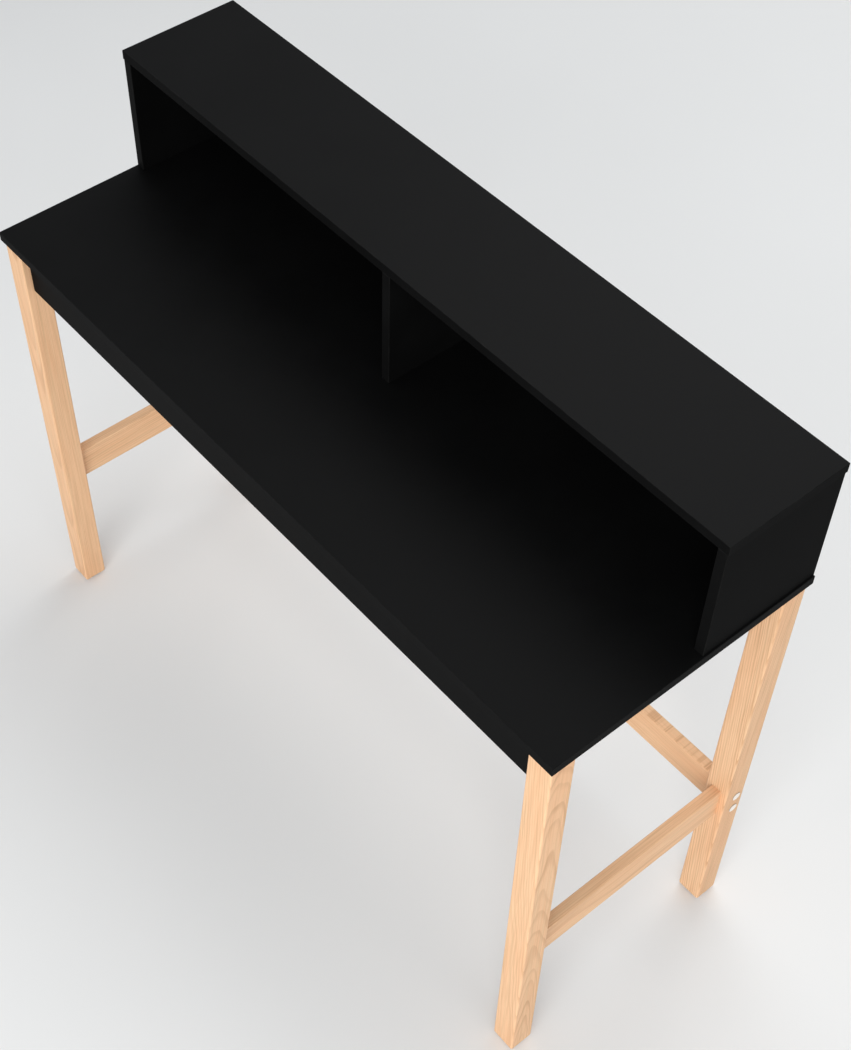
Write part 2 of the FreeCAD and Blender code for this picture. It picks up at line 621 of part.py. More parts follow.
def peg(name, position, direction):
    """A cam peg: its screwed end points against direction, its head along it."""
    thread = cylinder(f"{name}_thread", "dims.peg_thread", "dims.peg_grip", ("0", "0", "-dims.peg_grip"))
    shank = cylinder(f"{name}_shank", "dims.peg_shank", "dims.cam_setback")
    head_low = "dims.cam_setback - dims.peg_head_long / 2"
    head = cylinder(f"{name}_head", "dims.peg_head", "dims.peg_head_long", ("0", "0", head_low))
    return place(fuse(name, [thread, shank, head]), position, FreeCAD.Rotation(UP, direction))


def cam(name, position, face, to_joint):
    """A cam lock: its slotted end looks along face, and its mouth opens along to_joint.

    Its own frame has the slotted end up, the mouth along +X and the peg's axis through the origin.
    """
    drum_top = "dims.board / 2"
    drum_low = ("0", "0", f"{drum_top} - dims.cam_deep")
    drum = cylinder(f"{name}_drum", "dims.cam", "dims.cam_deep", drum_low)
    mouth_start = ("-dims.cam_mouth_back", "0", "0")
    mouth = cylinder(f"{name}_mouth", "dims.cam_mouth", "dims.cam", mouth_start, EAST)
    slot_low = f"{drum_top} - dims.cam_slot_deep"
    slots = cross_slots(name, "dims.cam_slot_long", "dims.cam_slot_wide", "dims.cam_slot_deep", slot_low)
    hollow = fuse(f"{name}_hollow", [mouth, slots])
    turn = FreeCAD.Rotation(to_joint, face.cross(to_joint), face, "ZXY")
    return place(cut(name, drum, hollow), position, turn)


def make_apron_locks():
    """One cam and peg at each end of each apron."""
    cams = []
    pegs = []
    inward = {"front": NORTH, "rear": SOUTH}
    for end in ENDS:
        y = f"{LEG_Y[end]} + {LEG_MIDDLE}"
        z = f"{DESK_LOW} - dims.apron_height / 2"
        for side, sign, outward in (("left", "+", WEST), ("right", "-", EAST)):
            joint = f"({LEG_LEFT} + dims.leg_side)" if side == "left" else LEG_RIGHT
            pegs.append(peg(f"apron_peg_{end}_{side}", (joint, y, z), -outward))
            where = (f"{joint} {sign} dims.cam_setback", y, z)
            cams.append(cam(f"apron_cam_{end}_{side}", where, inward[end], outward))
    group("apron_cam_locks", cams)
    group("apron_cam_pegs", pegs)


def make_hutch_locks():
    """Two cams and pegs between each upright and the hutch top."""
    cams = []
    pegs = []
    for place_name, x in PANEL_X.items():
        face = EAST if place_name == "left" else WEST
        for number, back in enumerate(PANEL_CAMS):
            middle = f"{x} + dims.board / 2"
            y = f"{PANEL_FRONT} + {back}"
            pegs.append(peg(f"hutch_peg_{place_name}_{number}", (middle, y, PANEL_TOP), DOWN))
            where = (middle, y, f"{PANEL_TOP} - dims.cam_setback")
            cams.append(cam(f"hutch_cam_{place_name}_{number}", where, face, UP))
    group("hutch_cam_locks", cams)
    group("hutch_cam_pegs", pegs)


# ---------------------------------------------------------------- bolts, nuts and caps of the rear rail

def hexagon_bar(name, across, height, position):
    """A hexagonal bar along +Z, sized across its flats."""
    bar = doc.addObject("Part::Prism", name)
    bar.Polygon = 6
    bar.setExpression("Circumradius", f"({across}) / sqrt(3)")
    bar.setExpression("Height", height)
    return place(bar, position)


def bolt(name, position, direction):
    """A socket head bolt: its head's underside is at position and its shank runs along direction."""
    shank = cylinder(f"{name}_shank", "dims.bolt", "dims.bolt_length")
    low = "-dims.bolt_head_high"
    head = cylinder(f"{name}_head", "dims.bolt_head", "dims.bolt_head_high", ("0", "0", low))
    socket = hexagon_bar(f"{name}_socket", "dims.bolt_socket", "dims.bolt_socket_deep", ("0", "0", low))
    solid = fuse(f"{name}_solid", [shank, head])
    return place(cut(name, solid, socket), position, FreeCAD.Rotation(UP, direction))


def barrel_nut(name, position):
    """A barrel nut across the rail, its screwdriver slot to the rear; position is its centre."""
    drum_low = "-dims.nut_length / 2"
    drum = cylinder(f"{name}_drum", "dims.nut", "dims.nut_length", ("0", drum_low, "0"), NORTH)
    bore = cylinder(f"{name}_bore", "dims.nut_thread", "dims.nut * 2", ("-dims.nut", "0", "0"), EAST)
    slot_size = ("dims.nut * 2", "dims.nut_slot_deep", "dims.nut_slot_wide")
    slot_low = ("-dims.nut", "dims.nut_length / 2 - dims.nut_slot_deep", "-dims.nut_slot_wide / 2")
    slot = box(f"{name}_slot", slot_size, slot_low)
    return place(cut(name, drum, fuse(f"{name}_hollow", [bore, slot])), position)


def bolt_cap(name, position, direction):
    """A plastic cover cap: a thin flange on the leg's face and a short plug in the counterbore."""
    plug_low = ("0", "0", "-dims.cap_plug_long")
    plug = cylinder(f"{name}_plug", "dims.cap_plug", "dims.cap_plug_long", plug_low)
    flange = cylinder(f"{name}_flange", "dims.cap", "dims.cap_thick")
    eased = doc.addObject("Part::Fillet", f"{name}_eased")
    eased.Base = flange
    rim = value("dims.cap_round")
    eased.Edges = [(HIGH_RIM, rim, rim)]
    return place(fuse(name, [plug, eased]), position, FreeCAD.Rotation(UP, direction))


def make_rear_rail_fixings():
    """Two bolts, barrel nuts and cover caps at each end of the rear rail."""
    bolts = []
    nuts = []
    caps = []
    y = f"{LEG_REAR} + {LEG_MIDDLE} + dims.rear_rail_shift"
    outer_faces = {"left": LEG_LEFT, "right": f"{LEG_RIGHT} + dims.leg_side"}
    for side, sign, outward in (("left", "+", WEST), ("right", "-", EAST)):
        face = outer_faces[side]
        for number, rise in enumerate(BOLT_HEIGHTS):
            z = f"dims.glide_high + {rise}"
            caps.append(bolt_cap(f"cap_{side}_{number}", (face, y, z), outward))
            seat = f"{face} {sign} dims.sink_deep"
            bolts.append(bolt(f"bolt_{side}_{number}", (seat, y, z), -outward))
            nut_x = f"{face} {sign} (dims.leg_side + dims.nut_setback)"
            nuts.append(barrel_nut(f"nut_{side}_{number}", (nut_x, y, z)))
    group("stretcher_bolts", bolts)
    group("stretcher_barrel_nuts", nuts)
    group("stretcher_bolt_caps", caps)


# ---------------------------------------------------------------- brackets and screws

def make_bracket(end, side):
    """The angle bracket in the corner of a leg and the desktop's underside."""
    label = f"leg_bracket_{end}_{side}"
    body = doc.addObject("PartDesign::Body", label)
    body.Label = label
    profile = plane_sketch(body, f"{label}_profile", "YZ_Plane", "-dims.bracket_wide / 2")
    thick = "dims.bracket_thick"
    arm = "dims.bracket_arm"
    upper = [("0", "0"), (arm, "0"), (arm, f"-{thick}")]
    lower = [(thick, f"-{thick}"), (thick, f"-{arm}"), ("0", f"-{arm}")]
    polygon(profile, upper + lower)
    pad = body.newObject("PartDesign::Pad", f"{label}_pad")
    pad.Profile = profile
    pad.setExpression("Length", "dims.bracket_wide")
    sketch = cut_face(body, f"{label}_leg_holes", "front", thick, thick)
    circles(sketch, [("0", f"-{reach}") for reach in BRACKET_HOLES], "dims.bracket_hole")
    level = plane_sketch(body, f"{label}_top_sketch", "XY_Plane")
    circles(level, [("0", reach) for reach in BRACKET_HOLES], "dims.bracket_hole")
    holes = body.newObject("PartDesign::Pocket", f"{label}_top_holes")
    holes.Profile = level
    holes.setExpression("Length", thick)
    turn = FreeCAD.Rotation(UP, 0 if end == "front" else 180)
    y = f"{LEG_FRONT} + dims.leg_side" if end == "front" else LEG_REAR
    place(body, (f"{LEG_X[side]} + {LEG_MIDDLE}", y, DESK_LOW), turn)


def pan_screw(name, length, position, direction):
    """A pan head screw: its head's underside is at position and its shank runs along direction."""
    straight = f"{length} - dims.screw_taper"
    shank = cylinder(f"{name}_shank", "dims.screw", straight)
    tip = cone(f"{name}_tip", "dims.screw", "dims.screw_tip", "dims.screw_taper", ("0", "0", straight))
    low = "-dims.screw_head_high"
    high = "dims.screw_head_high"
    head = cone(f"{name}_head", "dims.screw_head_low", "dims.screw_head", high, ("0", "0", low))
    solid = fuse(f"{name}_solid", [shank, tip, head])
    return place(cut(name, solid, cross_recess(name, low)), position, FreeCAD.Rotation(UP, direction))


def cross_recess(name, low):
    """A crosshead recess in the head whose outer end is at the height low."""
    return cross_slots(name, "dims.recess_long", "dims.recess_wide", "dims.recess_deep", low)


def make_bracket_screws():
    """Two screws through each bracket into its leg, and two into the desktop."""
    into_legs = []
    into_top = []
    for end in ENDS:
        outward = {"front": SOUTH, "rear": NORTH}[end]
        sign = {"front": "+", "rear": "-"}[end]
        face = f"({LEG_FRONT} + dims.leg_side)" if end == "front" else LEG_REAR
        for side in SIDES:
            x = f"{LEG_X[side]} + {LEG_MIDDLE}"
            for number, reach in enumerate(BRACKET_HOLES):
                seat = (x, f"{face} {sign} dims.bracket_thick", f"{DESK_LOW} - {reach}")
                name = f"leg_screw_{end}_{side}_{number}"
                into_legs.append(pan_screw(name, "dims.leg_screw_length", seat, outward))
                seat = (x, f"{face} {sign} {reach}", f"{DESK_LOW} - dims.bracket_thick")
                name = f"top_screw_{end}_{side}_{number}"
                into_top.append(pan_screw(name, "dims.top_screw_length", seat, UP))
    group("bracket_leg_screws", into_legs)
    group("bracket_top_screws", into_top)


def foot_screw(name, position):
    """A countersunk screw: the outer end of its head is at position and its shank runs up."""
    head = cone(f"{name}_head", "dims.foot_screw_head", "dims.foot_screw", "dims.foot_screw_head_high")
    straight = "dims.foot_screw_length - dims.foot_screw_taper"
    shank = cylinder(f"{name}_shank", "dims.foot_screw", straight)
    point = ("0", "0", straight)
    tip = cone(f"{name}_tip", "dims.foot_screw", "dims.screw_tip", "dims.foot_screw_taper", point)
    solid = fuse(f"{name}_solid", [head, shank, tip])
    return place(cut(name, solid, cross_recess(name, "0")), position)


def make_foot_screws():
    """Countersunk screws up through the desktop into the hutch's uprights."""
    screws = []
    for place_name, x in PANEL_X.items():
        for number, back in enumerate(FOOT_SCREWS):
            name = f"foot_screw_{place_name}_{number}"
            y = f"{PANEL_FRONT} + {back}"
            z = f"{DESK_LOW} + dims.foot_screw_sunk"
            screws.append(foot_screw(name, (f"{x} + dims.board / 2", y, z)))
    group("hutch_foot_screws", screws)


# ---------------------------------------------------------------- foot glides

def make_glides():
    """A round glide under each leg, and the nail that holds it."""
    discs = []
    nails = []
    for end in ENDS:
        for side in SIDES:
            name = f"{end}_{side}"
            where = (f"{LEG_X[side]} + {LEG_MIDDLE}", f"{LEG_Y[end]} + {LEG_MIDDLE}", "0")
            disc = cylinder(f"glide_{name}_disc", "dims.glide", "dims.glide_high")
            hole = cylinder(f"glide_{name}_hole", "dims.nail_bore", "dims.glide_high")
            well = cylinder(f"glide_{name}_well", "dims.glide_recess", "dims.glide_recess_deep")
            hollow = fuse(f"glide_{name}_hollow", [hole, well])
            discs.append(place(cut(f"glide_{name}", disc, hollow), where))
            seat = "dims.glide_recess_deep"
            shank = cylinder(f"nail_{name}_shank", "dims.nail", "dims.nail_length", ("0", "0", seat))
            head_low = ("0", "0", f"{seat} - dims.nail_head_high")
            head = cylinder(f"nail_{name}_head", "dims.nail_head", "dims.nail_head_high", head_low)
            nails.append(place(fuse(f"nail_{name}", [shank, head]), where))
    group("leg_glides", discs)
    group("glide_nails", nails)


# ---------------------------------------------------------------- assembly

make_desktop()
for end_name in ENDS:
    make_apron(end_name)
    for side_name in SIDES:
        make_leg(end_name, side_name)
        make_bracket(end_name, side_name)
for side_name in SIDES:
    make_side_rail(side_name)
make_rear_rail()
for panel_name in PANEL_X:
    make_hutch_panel(panel_name)
make_hutch_top()
make_hutch_back()
make_rail_dowels()
make_apron_dowels()
make_panel_dowels()
make_apron_locks()
make_hutch_locks()
make_rear_rail_fixings()
make_bracket_screws()
make_foot_screws()
make_glides()
doc.recompute()

NODES = [
    "desktop", "front_apron", "rear_apron",
    "leg_front_left", "leg_front_right", "leg_rear_left", "leg_rear_right",
    "side_stretcher_left", "side_stretcher_right", "rear_stretcher",
    "hutch_top", "hutch_side_left", "hutch_side_right", "hutch_divider", "hutch_back_panel",
    "side_stretcher_dowels", "apron_dowels", "hutch_foot_dowels", "hutch_top_dowels",
    "apron_cam_locks", "apron_cam_pegs", "hutch_cam_locks", "hutch_cam_pegs",
    "stretcher_bolts", "stretcher_barrel_nuts", "stretcher_bolt_caps",
    "leg_bracket_front_left", "leg_bracket_front_right", "leg_bracket_rear_left", "leg_bracket_rear_right",
    "bracket_leg_screws", "bracket_top_screws", "hutch_foot_screws",
    "leg_glides", "glide_nails",
]


def check_document():
    """Stop on a failed feature, a pocket that cuts nothing, or a broken sub-part."""
    for item in doc.Objects:
        bad = {"Invalid", "Error"} & set(item.State)
        if bad:
            raise RuntimeError(f"{item.Name} is {bad}")
        if item.TypeId == "PartDesign::Pocket":
            removed = item.BaseFeature.Shape.Volume - item.Shape.Volume
            if removed < 1:
                raise RuntimeError(f"{item.Name} removes {removed:.3f} cubic mm")
    for label in NODES:
        shape = doc.getObjectsByLabel(label)[0].Shape
        if shape.isNull() or not shape.isValid():
            raise RuntimeError(f"{label} has no valid shape")


check_document()
os.makedirs("parts", exist_ok=True)
for label in NODES:
    doc.getObjectsByLabel(label)[0].Shape.exportStep(f"parts/{label}.step")
print(f"{len(NODES)} sub-parts written")
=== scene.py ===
import math
from typing import NamedTuple

import bpy
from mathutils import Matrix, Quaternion, Vector


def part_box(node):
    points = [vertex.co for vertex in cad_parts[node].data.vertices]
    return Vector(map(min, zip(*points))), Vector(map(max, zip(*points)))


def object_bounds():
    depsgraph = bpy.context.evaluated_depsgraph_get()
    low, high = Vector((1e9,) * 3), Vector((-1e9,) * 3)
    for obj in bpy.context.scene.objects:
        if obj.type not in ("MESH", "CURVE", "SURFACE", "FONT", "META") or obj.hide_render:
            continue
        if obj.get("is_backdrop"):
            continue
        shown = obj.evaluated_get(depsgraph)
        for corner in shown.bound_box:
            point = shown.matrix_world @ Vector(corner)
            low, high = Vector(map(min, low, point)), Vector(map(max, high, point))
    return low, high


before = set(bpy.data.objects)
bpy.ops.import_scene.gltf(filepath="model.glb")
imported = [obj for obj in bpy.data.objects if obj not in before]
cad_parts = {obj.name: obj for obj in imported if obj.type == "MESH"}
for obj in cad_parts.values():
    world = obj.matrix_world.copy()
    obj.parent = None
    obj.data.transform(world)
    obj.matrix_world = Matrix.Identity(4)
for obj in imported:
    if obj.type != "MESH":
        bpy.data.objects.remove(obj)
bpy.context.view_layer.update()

MM = 0.001
SIDEWAYS, FORWARD, UPRIGHT = 0, 1, 2

# ---------------------------------------------------------------- view
# Angles are in degrees, lengths in metres, the lens and its sensor in millimetres, and the shifts in
# shares of the picture's longer side.
VIEW_AZIMUTH = 51.26
VIEW_ELEVATION = 50.53
VIEW_ROLL = -0.43
VIEW_DISTANCE = 2.1977
AIM_SIDE = 0.1984
AIM_FRONT = -0.1704
LENS = 59.57
SENSOR = 36.0
SHIFT_SIDE = 0.0564
SHIFT_UP = 0.0113


# ---------------------------------------------------------------- node graph helpers
class Pattern(NamedTuple):
    """A smooth noise from 0 to 1, and the low and high between which its mask rises."""

    cells: tuple            # in a metre, along each of the three axes
    detail: float = 2.0
    rough: float = 0.5
    low: float = 0.0
    high: float = 1.0


class Graph:
    """One material and short names for the nodes that build it."""

    def __init__(self, name):
        self.material = bpy.data.materials.new(name)
        self.material.use_nodes = True
        self.tree = self.material.node_tree
        self.tree.nodes.clear()
        self.shader = self.add("ShaderNodeBsdfPrincipled")
        output = self.add("ShaderNodeOutputMaterial")
        self.tree.links.new(self.shader.outputs["BSDF"], output.inputs["Surface"])
        self.place = self.add("ShaderNodeTexCoord").outputs["Object"]
        self.normal = self.add("ShaderNodeNewGeometry").outputs["Normal"]

    def add(self, kind, **settings):
        node = self.tree.nodes.new(kind)
        for name, value in settings.items():
            setattr(node, name, value)
        return node

    def feed(self, socket, value):
        """Links the value to the socket if it is another node's output, and sets it if it is plain."""
        if isinstance(value, bpy.types.NodeSocket):
            self.tree.links.new(value, socket)
        else:
            socket.default_value = value

    def math(self, operation, first, second=0.0, third=0.0):
        node = self.add("ShaderNodeMath", operation=operation)
        for socket, value in zip(node.inputs, (first, second, third)):
            self.feed(socket, value)
        return node.outputs[0]

    def total(self, start, *terms):
        """The start with each term added, where a term is a value and its weight."""
        for value, weight in terms:
            start = self.math("MULTIPLY_ADD", value, weight, start)
        return start

    def vector(self, operation, first, second=(0.0, 0.0, 0.0)):
        node = self.add("ShaderNodeVectorMath", operation=operation)
        self.feed(node.inputs[0], first)
        self.feed(node.inputs[1], second)
        return node.outputs["Value" if operation == "LENGTH" else "Vector"]

    def split(self, vector):
        node = self.add("ShaderNodeSeparateXYZ")
        self.feed(node.inputs[0], vector)
        return list(node.outputs)

    def join(self, x, y, z):
        node = self.add("ShaderNodeCombineXYZ")
        for socket, value in zip(node.inputs, (x, y, z)):
            self.feed(socket, value)
        return node.outputs[0]

    def noise(self, place, pattern, output=0):
        """The pattern's noise at a place. The output "Color" gives three independent ones as a vector."""
        node = self.add("ShaderNodeTexNoise")
        self.feed(node.inputs["Vector"], self.vector("MULTIPLY", place, pattern.cells))
        node.inputs["Scale"].default_value = 1.0
        node.inputs["Detail"].default_value = pattern.detail
        node.inputs["Roughness"].default_value = pattern.rough
        return node.outputs[output]

    def scatter(self, value):
        """A random number from 0 to 1 for each whole value."""
        node = self.add("ShaderNodeTexWhiteNoise", noise_dimensions="1D")
        self.feed(node.inputs["W"], self.math("FLOOR", value))
        return node.outputs["Value"]

    def step(self, value, low, high, first=0.0, last=1.0):
        """Goes smoothly from first to last as the value goes from low to high."""
        node = self.add("ShaderNodeMapRange", interpolation_type="SMOOTHSTEP")
        for socket, number in zip(node.inputs, (value, low, high, first, last)):
            self.feed(socket, number)
        return node.outputs[0]

    def mask(self, value, pattern, first=0.0, last=1.0):
        """Goes smoothly from first to last over the range of the pattern's mask."""
        return self.step(value, pattern.low, pattern.high, first, last)

    def blend(self, share, first, second):
        node = self.add("ShaderNodeMix", data_type="RGBA", blend_type="MIX")
        self.feed(node.inputs[0], share)
        self.feed(node.inputs[6], first)
        self.feed(node.inputs[7], second)
        return node.outputs[2]

    def tint(self, body, place, pattern, share, shade):
        """The body with up to a share of the shade in it, where the pattern is high."""
        amount = self.mask(self.noise(place, pattern), pattern, 0.0, share)
        return self.blend(amount, body, shade)

    def bump(self, height, distance):
        node = self.add("ShaderNodeBump")
        node.inputs["Strength"].default_value = 1.0
        node.inputs["Distance"].default_value = distance
        self.feed(node.inputs["Height"], height)
        return node.outputs[0]

    def edge_distance(self, node_name):
        """Metres from a point of a box's surface to the nearest edge of the box.

        Of the three gaps to the box's sides, the least is to the point's own side and the middle one counts.
        """
        low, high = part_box(node_name)
        middle, half = (low + high) / 2, (high - low) / 2
        offset = self.vector("ABSOLUTE", self.vector("SUBTRACT", self.place, tuple(middle)))
        gaps = self.split(self.vector("SUBTRACT", tuple(half), offset))
        nearest = self.math("MINIMUM", gaps[0], gaps[1])
        farthest = self.math("MAXIMUM", gaps[0], gaps[1])
        return self.math("MAXIMUM", nearest, self.math("MINIMUM", farthest, gaps[2]))

    def finish(self, body, roughness, height, relief, **uniform):
        """Joins colour, roughness and bump (relief in metres) to the shader, and sets its plain numbers."""
        self.feed(self.shader.inputs["Base Color"], body)
        self.feed(self.shader.inputs["Roughness"], roughness)
        self.feed(self.shader.inputs["Normal"], self.bump(height, relief))
        for name, value in uniform.items():
            self.shader.inputs[name.replace("_", " ")].default_value = value
        return self.material


def color(red, green, blue):
    return (red, green, blue, 1.0)


def grey(value):
    return color(value, value, value)


def even(count):
    """The same number on all three axes."""
    return (count, count, count)


def cover(node_name, material):
    """Gives a CAD node its finish."""
    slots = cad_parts[node_name].data.materials
    slots.clear()
    slots.append(material)


# ---------------------------------------------------------------- solid wood
EARLY_WOOD = color(0.850, 0.545, 0.325)
LATE_WOOD = color(0.560, 0.300, 0.150)
GREY_WOOD = color(0.680, 0.490, 0.290)
WARM_WOOD = color(0.820, 0.460, 0.250)
WOOD_ROUGHNESS = 0.50
WOOD_SHINE = 0.20
WOOD_RELIEF = 0.06 * MM

# Each has its cells across, across and along the grain, then detail, rough, low and high.
WOOD_SWAY = Pattern((28.0, 28.0, 7.0), 1.0)
WOOD_FADE = Pattern((70.0, 70.0, 9.0), 2.0, 0.5, 0.35, 0.65)
WOOD_PATCH = Pattern((35.0, 35.0, 6.0), 2.0, 0.5, 0.30, 0.75)
WOOD_STREAK = Pattern((260.0, 260.0, 3.0), 2.0, 0.5, 0.45, 0.85)
WOOD_HAIR = Pattern((430.0, 430.0, 11.0), 1.0, 0.5, 0.42, 0.68)
WOOD_FIBRE = Pattern((900.0, 900.0, 9.0), 3.0, 0.6, 0.35, 0.80)
WOOD_PORE = Pattern((1500.0, 1500.0, 70.0), 1.0, 0.5, 0.66, 0.74)
STRIP_BAND = Pattern((0.0, 14.0, 130.0), 3.0, 0.75, 0.46, 0.60)
STRIP_SWELL = Pattern((0.0, 0.0, 22.0), 1.0, 0.5, 0.3, 0.7)

# The most that each layer covers of what lies under it.
WARM_SHARE = 0.55
GREY_SHARE = 0.60
HAIR_SHARE = 0.26
FIBRE_SHARE = 0.22
PORE_SHARE = 0.30
WORN_SHARE = 0.07

# The wear at an edge is full up to the first distance and gone at the second.
WORN_FULL, WORN_GONE = 1.2 * MM, 3.5 * MM

# A year is 0 to 1. Its late wood starts, is full, and ends sharply before the next year.
LATE_START, LATE_FULL, LATE_END = 0.45, 0.90, 0.92
WEAKEST_YEAR = 0.45
FADED_YEAR = 0.60
FAINTEST_STRIP = 0.40

# The whole range of the sway's noise moves a ring by this many wanders.
NOISE_MIDDLE = 0.5
SWAY_GAIN = 4.0

# A slow noise makes years wider and narrower: the most it adds, in years, and its cells in a ring's width.
DRIFT_YEARS = 1.8
DRIFT_CELLS = 0.33

# Metres by which the noise of one piece is moved from another's, for each metre between their piths.
SEED_STEP = 97.0

# How far a face has to turn upwards for the strips to start, and to be full.
UP_START, UP_FULL = 0.6, 0.95


class Cut(NamedTuple):
    """How a piece is cut from its log. The pith is a line that runs nearly along the piece."""

    along: int              # the piece's long axis
    pith: tuple             # metres from the piece's middle line, on its two short axes
    lean: tuple             # the pith's slope on the same two axes
    ring: float             # the width of a year, in metres
    wander: float           # how far a ring sways, in metres
    mark: float             # how strongly the late wood shows
    strips: float           # how strongly the bands across the upper face show


TIMBER = {
    "leg_front_right": Cut(UPRIGHT, (-0.019, -0.002), (-0.064, 0.004), 3.8 * MM, 2.1 * MM, 0.66, 0.0),
    "leg_front_left": Cut(UPRIGHT, (0.006, -0.120), (0.005, 0.014), 2.2 * MM, 0.8 * MM, 0.70, 0.0),
    "leg_rear_right": Cut(UPRIGHT, (-0.110, 0.130), (-0.045, 0.014), 2.3 * MM, 0.5 * MM, 1.0, 0.0),
    "leg_rear_left": Cut(UPRIGHT, (0.090, 0.090), (0.012, 0.020), 2.2 * MM, 0.8 * MM, 0.60, 0.0),
    "side_stretcher_right": Cut(FORWARD, (-0.160, 0.012), (0.006, 0.008), 4.6 * MM, 1.0 * MM, 0.55, 0.0),
    "side_stretcher_left": Cut(FORWARD, (-0.150, -0.080), (0.014, 0.020), 2.6 * MM, 1.0 * MM, 0.60, 0.0),
    "rear_stretcher": Cut(SIDEWAYS, (0.020, -0.150), (0.006, 0.010), 3.2 * MM, 1.0 * MM, 0.45, 1.0),
}


def pith_distance(graph, cut, local, length, grain):
    """Metres to the pith, with a sway that bends the rings."""
    swing = graph.vector("SUBTRACT", graph.noise(grain, WOOD_SWAY, "Color"), even(NOISE_MIDDLE))
    sway = graph.split(swing)
    across = []
    for axis in (0, 1):
        centre = graph.math("MULTIPLY_ADD", length, cut.lean[axis], cut.pith[axis])
        bent = graph.math("MULTIPLY_ADD", sway[axis], SWAY_GAIN * cut.wander, local[axis])
        across.append(graph.math("SUBTRACT", bent, centre))
    return graph.vector("LENGTH", graph.join(across[0], across[1], 0.0))


def late_wood(graph, cut, radius, grain, seed):
    """0 to 1: the dark part of each year, with wide and narrow years and strong and faint ones."""
    drift_pattern = Pattern((DRIFT_CELLS / cut.ring, 1.0, 1.0), 1.0)
    drift = graph.noise(graph.join(radius, seed, 0.0), drift_pattern)
    growth = graph.math("MULTIPLY_ADD", drift, DRIFT_YEARS, graph.math("DIVIDE", radius, cut.ring))
    year = graph.math("FRACT", growth)
    rise = graph.step(year, LATE_START, LATE_FULL)
    fall = graph.step(year, LATE_END, 1.0, 1.0, 0.0)
    vigour = graph.step(graph.scatter(growth), 0.0, 1.0, WEAKEST_YEAR, 1.0)
    late = graph.math("MULTIPLY", graph.math("MULTIPLY", rise, fall), vigour)
    fade = graph.mask(graph.noise(grain, WOOD_FADE), WOOD_FADE, FADED_YEAR, 1.0)
    return graph.math("MULTIPLY", late, fade)


def cross_strips(graph, local, length):
    """0 to 1: short bands across the upper face of a rail."""
    up = graph.step(graph.split(graph.normal)[UPRIGHT], UP_START, UP_FULL)
    band = graph.mask(graph.noise(graph.join(0.0, local[1], length), STRIP_BAND), STRIP_BAND)
    swell = graph.noise(graph.join(0.0, 0.0, length), STRIP_SWELL)
    band = graph.math("MULTIPLY", band, graph.mask(swell, STRIP_SWELL, FAINTEST_STRIP, 1.0))
    return graph.math("MULTIPLY", band, up)


def timber(node_name, cut):
    """Solid wood: early wood with patches and streaks, the years' late wood, hairs, fibres and pores."""
    graph = Graph("wood_" + node_name)
    low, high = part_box(node_name)
    local = graph.split(graph.vector("SUBTRACT", graph.place, tuple((low + high) / 2)))
    length = local.pop(cut.along)
    seed = sum(cut.pith) * SEED_STEP
    grain = graph.join(graph.math("ADD", local[0], seed), local[1], length)
    radius = pith_distance(graph, cut, local, length, grain)
    late = late_wood(graph, cut, radius, grain, seed)
    fibre = graph.noise(grain, WOOD_FIBRE)
    pore = graph.mask(graph.noise(grain, WOOD_PORE), WOOD_PORE)

    body = graph.tint(EARLY_WOOD, grain, WOOD_PATCH, WARM_SHARE, WARM_WOOD)
    body = graph.tint(body, grain, WOOD_STREAK, GREY_SHARE, GREY_WOOD)
    body = graph.blend(graph.math("MULTIPLY", late, cut.mark), body, LATE_WOOD)
    body = graph.tint(body, grain, WOOD_HAIR, HAIR_SHARE, LATE_WOOD)
    body = graph.blend(graph.mask(fibre, WOOD_FIBRE, 0.0, FIBRE_SHARE), body, LATE_WOOD)
    body = graph.blend(graph.math("MULTIPLY", pore, PORE_SHARE), body, LATE_WOOD)
    if cut.strips:
        strips = graph.math("MULTIPLY", cross_strips(graph, local, length), cut.strips)
        body = graph.blend(strips, body, LATE_WOOD)
    worn = graph.step(graph.edge_distance(node_name), WORN_FULL, WORN_GONE, WORN_SHARE, 0.0)
    body = graph.blend(worn, body, EARLY_WOOD)

    height = graph.total(fibre, (late, 0.6), (pore, -0.8))
    roughness = graph.total(WOOD_ROUGHNESS, (fibre, 0.14), (late, -0.06))
    return graph.finish(body, roughness, height, WOOD_RELIEF, Specular_IOR_Level=WOOD_SHINE)


# ---------------------------------------------------------------- boards
# Each black is a pair: the ground, and the paler tone of its mottle.
# The level, upright, side and rear blacks are copies of the one melamine black. Each is made darker or
# lighter as painted shade, and the rear one is lighter as painted light on the back.
LEVEL_SHADED_BLACK = (grey(0.0030), grey(0.0040))
UPRIGHT_SHADED_BLACK = (grey(0.0042), grey(0.0056))
SIDE_SHADED_BLACK = (grey(0.0032), grey(0.0043))
REAR_LIT_BLACK = (grey(0.0100), grey(0.0130))
BAND_BLACK = (grey(0.0044), grey(0.0060))
WORN_BLACK = color(0.0120, 0.0120, 0.0115)
LEVEL_SHINE = 0.072
UPRIGHT_SHINE = 0.018
SIDE_SHINE = 0.009
REAR_SHINE = 0.040

BOARD_MOTTLE = Pattern(even(9.0), 4.0, 0.6, 0.30, 0.75)
BOARD_SCUFF = Pattern(even(45.0), 3.0, 0.7, 0.35, 0.75)
BOARD_PEBBLE = Pattern(even(1900.0), 2.0, 0.6)
BOARD_WAVE = Pattern(even(60.0))
BOARD_ROUGHNESS = 0.46
BOARD_RELIEF = 0.03 * MM

# An edge is rubbed in full up to the first distance and not at all at the second.
RUBBED_FULL, RUBBED_GONE = 0.2 * MM, 1.1 * MM
LEAST_RUBBED = 0.25

# The fine line beside an edge, where the band is glued on: its distance from the edge and half its width.
SEAM_DISTANCE, SEAM_HALF_WIDTH = 1.25 * MM, 0.10 * MM

